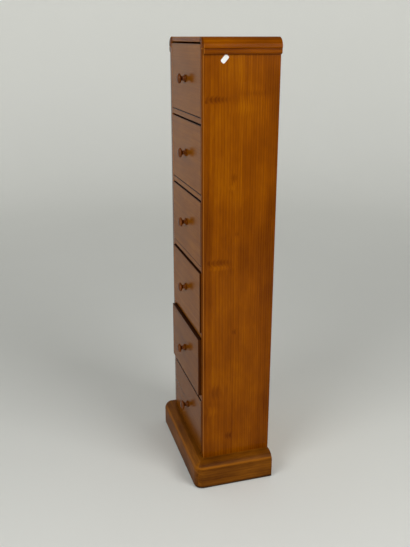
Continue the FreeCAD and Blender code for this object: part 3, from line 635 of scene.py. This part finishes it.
class CHIFFONIER_OT_knobs(bpy.types.Operator):
    """Turns one knob and puts a copy on each drawer"""
    bl_idname = "chiffonier.knobs"
    bl_label = "Turned Knobs"

    def execute(self, context):
        wish, woods = context.scene.chiffonier_knob, context.scene.chiffonier_wood
        tones = (woods.russet, woods.chestnut, woods.sepia)
        centres = []
        for n in DRAWERS:
            low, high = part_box(f"drawer_{n}_knob")
            front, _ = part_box(f"drawer_{n}_front")
            centres.append(Vector(((low.x + high.x) / 2, front.y, (low.z + high.z) / 2)))
        first = centres[0]
        # turned between centres and dipped in varnish: the fibres run out along the knob
        cut = Cut("drawer_1_knob", "y", depth=30, aside=8)
        material = wood("Pine varnished knobs", cut, tones, rough=0.42, gloss=woods.gloss * KNOB_GLOSS,
                        ring_gap=woods.ring_gap * KNOB_RINGS, contrast=FIGURE_KNOB, coat=KNOB_COAT)
        begin()
        outline = knob_turning(wish)
        reach, radius = outline[0]
        bpy.ops.mesh.primitive_circle_add(vertices=wish.facets, radius=radius, fill_type="NGON",
                                          location=first - Vector((0, reach, 0)),
                                          rotation=(math.pi / 2, 0, 0))
        bpy.ops.object.mode_set(mode="EDIT")
        for further, wider in outline[1:]:
            bpy.ops.mesh.extrude_region_move(TRANSFORM_OT_translate={"value": (0, reach - further, 0)})
            bpy.ops.transform.resize(value=(wider / radius, 1, wider / radius),
                                     center_override=first - Vector((0, further, 0)))
            reach, radius = further, wider
        bpy.ops.mesh.extrude_region_move(TRANSFORM_OT_translate={"value": (0, reach - wish.reach, 0)})
        bpy.ops.mesh.merge(type="CENTER")
        knob = complete("turned_knob_1", material, "drawer_1", "drawer_1_knob")
        for n, centre in zip(DRAWERS, centres):
            if n > 1:
                settle(copy_piece(knob, f"turned_knob_{n}", centre - first), f"drawer_{n}",
                       f"drawer_{n}_knob")
        return {"FINISHED"}


TAG_PLACE = (-30.4 * MM, 1246.7 * MM)  # its middle, in Y and in Z
TAG_TURN = math.radians(-41.8)
TAG_THICKNESS = 0.18 * MM


class CHIFFONIER_OT_tag(bpy.types.Operator):
    """Sticks the small blank paper tag on the right side"""
    bl_idname = "chiffonier.tag"
    bl_label = "Paper Tag"

    def execute(self, context):
        wish = context.scene.chiffonier_trim
        _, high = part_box("side_right")
        centre = Vector((high.x, *TAG_PLACE))
        # matt coated paper: white, no shine, a trace of fibre
        material = new_material("Paper blank tag")
        tree = material.node_tree
        place = add(tree, "TexCoord")["Object"]
        pulp = add(tree, "TexNoise", {"Vector": place, "Scale": 1 / (1.5 * MM), "Detail": 3})[0]
        tone = add(tree, "MapRange", {"Value": pulp, "To Min": 0.94, "To Max": 1})[0]
        paper = add(tree, "Mix", {SHARE: 1, FIRST: (*wish.tag_paper, 1), SECOND: tone}, data_type="RGBA",
                    blend_type="MULTIPLY")[MIXED]
        relief = add(tree, "Bump", {"Strength": 0.1, "Distance": 0.1 * MM, "Height": pulp})[0]
        shader = add(tree, "BsdfPrincipled", {"Base Color": paper, "Roughness": 0.7, "Normal": relief})[0]
        close(material, shader)
        begin()
        bpy.ops.mesh.primitive_plane_add(size=1, location=centre, rotation=(TAG_TURN, 0, 0))
        # the plane lies flat: its first side becomes the tag's width, its second the length, and it faces +X
        upright = ((0, 0, 1, 0), (wish.tag_width, 0, 0, 0), (0, wish.tag_length, 0, 0), (0, 0, 0, 1))
        context.object.data.transform(Matrix(upright))
        bpy.ops.object.mode_set(mode="EDIT")
        bpy.ops.mesh.select_all(action="SELECT")
        bpy.ops.mesh.bevel(offset=wish.tag_corner, segments=6, affect="VERTICES")
        bpy.ops.mesh.select_all(action="SELECT")
        bpy.ops.mesh.extrude_region_move(TRANSFORM_OT_translate={"value": (TAG_THICKNESS, 0, 0)})
        complete("paper_tag", material, "case")
        return {"FINISHED"}


NAIL_INSET = 5 * MM  # from the panel's edges to the nails
NAIL_ROOT = 1 * MM  # how deep in the panel a head starts
NAIL_POINTS = 14
# A head's steps outwards: rise in millimetres, and how much it narrows there
NAIL_STEPS = ((1.35, 1), (0.25, 0.93), (0.15, 0.75), (0.08, 0.4))


class CHIFFONIER_OT_nails(bpy.types.Operator):
    """Drives the nails round the edge of the back panel"""
    bl_idname = "chiffonier.nails"
    bl_label = "Back Nails"

    def execute(self, context):
        wish = context.scene.chiffonier_trim
        low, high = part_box("back_panel")
        left, right = low.x + NAIL_INSET, high.x - NAIL_INSET
        bottom, top = low.z + NAIL_INSET, high.z - NAIL_INSET
        places = []
        rows = round((top - bottom) / wish.nail_gap)
        for row in range(rows + 1):
            z = bottom + (top - bottom) * row / rows
            places += [(left, z), (right, z)]
        columns = round((right - left) / wish.nail_gap)
        for column in range(1, columns):
            places.append((left + (right - left) * column / columns, top))
        # drawn steel wire, flat head struck by a hammer: grey, dull, with a warm trace of rust
        material = new_material("Steel wire nail heads")
        tree = material.node_tree
        place = add(tree, "TexCoord")["Object"]
        patch = add(tree, "TexNoise", {"Vector": place, "Scale": 1 / (3 * MM), "Detail": 2})[0]
        steel = add(tree, "ValToRGB", {"Fac": patch}, stops=((0.35, wish.nail_steel),
                                                             (0.75, wish.nail_rust)))[0]
        dull = add(tree, "MapRange", {"Value": patch, "To Min": 0.35, "To Max": 0.65})[0]
        shader = add(tree, "BsdfPrincipled", {"Base Color": steel, "Metallic": 1, "Roughness": dull})[0]
        close(material, shader)
        begin()
        x, z = places[0]
        bpy.ops.mesh.primitive_circle_add(vertices=NAIL_POINTS, radius=wish.nail_head, fill_type="NGON",
                                          location=(x, high.y - NAIL_ROOT, z), rotation=(-math.pi / 2, 0, 0))
        bpy.ops.object.mode_set(mode="EDIT")
        for rise, narrow in NAIL_STEPS:
            bpy.ops.mesh.extrude_region_move(TRANSFORM_OT_translate={"value": (0, rise * MM, 0)})
            bpy.ops.transform.resize(value=(narrow, 1, narrow), center_override=(x, high.y, z))
        bpy.ops.object.mode_set(mode="OBJECT")
        nail = context.object
        bpy.ops.object.transform_apply(location=True, rotation=True, scale=True)
        for number, (across, up) in enumerate(places[1:]):
            copy_piece(nail, f"nail_{number}", Vector((across - x, 0, up - z))).select_set(True)
        nail.select_set(True)
        bpy.ops.object.join()
        complete("back_nails", material, "case")
        return {"FINISHED"}


RIGHT_LAMP = (1.89, 1.13, 1.9)
LEFT_LAMP = (1.25, -1.78, 1.9)
LAMP_AIM = Vector((0, 0, 0.6))
LAMP_SIZE = 1.3
# Where the sweep's glow begins and where it is at its full: the way along the floor and up the wall
GLOW_START = 0.8
GLOW_END = 6.1


class CHIFFONIER_OT_stage(bpy.types.Operator):
    """Sets up the pale floor, the lamps and the camera"""
    bl_idname = "chiffonier.stage"
    bl_label = "Studio"

    def execute(self, context):
        wish, scene = context.scene.chiffonier_stage, context.scene
        begin()
        bpy.ops.mesh.primitive_circle_add(vertices=96, radius=wish.floor_radius, fill_type="NGON",
                                          location=(0, 0, 0))
        bpy.ops.object.mode_set(mode="EDIT")
        bpy.ops.mesh.select_mode(type="EDGE")
        ring = bmesh.from_edit_mesh(context.object.data)
        for face in ring.faces:
            face.select_set(False)
        for edge in ring.edges:
            edge.select_set(True)
        outline = [(wish.floor_radius + wish.sweep * sine, wish.sweep * (1 - cosine))
                   for sine, cosine in quarter(12)]
        outline.append((wish.floor_radius + wish.sweep, wish.sweep + wish.wall_height))
        out, up = wish.floor_radius, 0
        for further, higher in outline:
            bpy.ops.mesh.extrude_edges_move(TRANSFORM_OT_translate={"value": (0, 0, higher - up)})
            bpy.ops.transform.resize(value=(further / out, further / out, 1), center_override=(0, 0, higher))
            out, up = further, higher
        bpy.ops.mesh.select_mode(type="VERT")
        bpy.ops.object.mode_set(mode="OBJECT")
        floor = context.object
        floor.name = floor.data.name = "studio_floor"
        bpy.ops.object.shade_smooth()
        # seamless studio board: pale, matt, a little uneven
        material = new_material("Studio board matt")
        tree = material.node_tree
        place = add(tree, "TexCoord")["Object"]
        cloud = add(tree, "TexNoise", {"Vector": place, "Scale": 1.1, "Detail": 2})[0]
        tone = add(tree, "MapRange", {"Value": cloud, "To Min": 0.97, "To Max": 1.03})[0]
        pale = add(tree, "Mix", {SHARE: 1, FIRST: (*wish.floor, 1), SECOND: tone}, data_type="RGBA",
                   blend_type="MULTIPLY")[MIXED]
        # seen and mirrored paler towards the top, without more light on the chest
        ray = add(tree, "LightPath")
        seen = add(tree, "Math", {0: ray["Is Camera Ray"], 1: ray["Is Glossy Ray"]}, operation="MAXIMUM")[0]
        seen = add(tree, "Math", {0: seen, 1: ray["Is Transmission Ray"]}, operation="MAXIMUM")[0]
        away = add(tree, "VectorMath", {0: place, 1: (1, 1, 0)}, operation="MULTIPLY")[0]
        away = add(tree, "VectorMath", {0: away}, operation="LENGTH")["Value"]
        away = add(tree, "Math", {0: away, 1: add(tree, "SeparateXYZ", {0: place})["Z"]}, operation="ADD")[0]
        glow = add(tree, "MapRange", {"Value": away, "From Min": GLOW_START, "From Max": GLOW_END,
                                      "To Max": wish.glow})[0]
        glow = add(tree, "Math", {0: glow, 1: seen}, operation="MULTIPLY")[0]
        shader = add(tree, "BsdfPrincipled", {"Base Color": pale, "Roughness": 0.9, "Emission Strength": glow,
                                              "Emission Color": (1, 1, 0.95, 1)})[0]
        close(material, shader)
        floor.data.materials.append(material)

        for name, place, power in (("right_lamp", RIGHT_LAMP, wish.right_power),
                                   ("left_lamp", LEFT_LAMP, wish.left_power)):
            lamp = bpy.data.lights.new(name, "AREA")
            lamp.size = LAMP_SIZE
            lamp.energy = power
            made = bpy.data.objects.new(name, lamp)
            made.location = place
            made.visible_camera = False
            made.rotation_euler = (Vector(place) - LAMP_AIM).to_track_quat("Z", "Y").to_euler()
            scene.collection.objects.link(made)
        scene.world = scene.world or bpy.data.worlds.new("World")
        scene.world.use_nodes = True
        sky = scene.world.node_tree.nodes["Background"]
        sky.inputs["Color"].default_value = (1, 1, 1, 1)
        sky.inputs["Strength"].default_value = wish.sky

        camera = bpy.data.objects.new("camera", bpy.data.cameras.new("camera"))
        camera.location = wish.camera_place
        camera.rotation_euler = (math.pi / 2 - wish.camera_dip, 0, wish.camera_heading)
        camera.data.lens = wish.camera_lens
        scene.collection.objects.link(camera)
        scene.camera = camera
        scene.view_settings.view_transform = "Standard"
        return {"FINISHED"}


STEPS = (CHIFFONIER_OT_varnish, CHIFFONIER_OT_inner, CHIFFONIER_OT_knobs, CHIFFONIER_OT_tag,
         CHIFFONIER_OT_nails, CHIFFONIER_OT_stage)
SETTINGS = {"chiffonier_wood": ChiffonierWood, "chiffonier_knob": ChiffonierKnob,
            "chiffonier_trim": ChiffonierTrim, "chiffonier_stage": ChiffonierStage}


class CHIFFONIER_PT_panel(bpy.types.Panel):
    """The chest's settings and the buttons that make its pieces"""
    bl_idname = "CHIFFONIER_PT_panel"
    bl_label = "Chiffonier"
    bl_space_type = "VIEW_3D"
    bl_region_type = "UI"
    bl_category = "Chiffonier"

    def draw(self, context):
        for group, kind in SETTINGS.items():
            box = self.layout.box()
            for name in kind.__annotations__:
                box.prop(getattr(context.scene, group), name)
        for step in STEPS:
            self.layout.operator(step.bl_idname)


def register():
    """Makes the settings, operators and panel known to Blender."""
    for kind in (*SETTINGS.values(), *STEPS, CHIFFONIER_PT_panel):
        bpy.utils.register_class(kind)
    for group, kind in SETTINGS.items():
        setattr(bpy.types.Scene, group, PointerProperty(type=kind))


def unregister():
    """Takes them away again."""
    for group in SETTINGS:
        delattr(bpy.types.Scene, group)
    for kind in (CHIFFONIER_PT_panel, *STEPS, *SETTINGS.values()):
        bpy.utils.unregister_class(kind)


def main():
    """Makes every piece in order."""
    register()
    for step in STEPS:
        group, name = step.bl_idname.split(".")
        getattr(getattr(bpy.ops, group), name)()


if __name__ == "__main__":
    main()
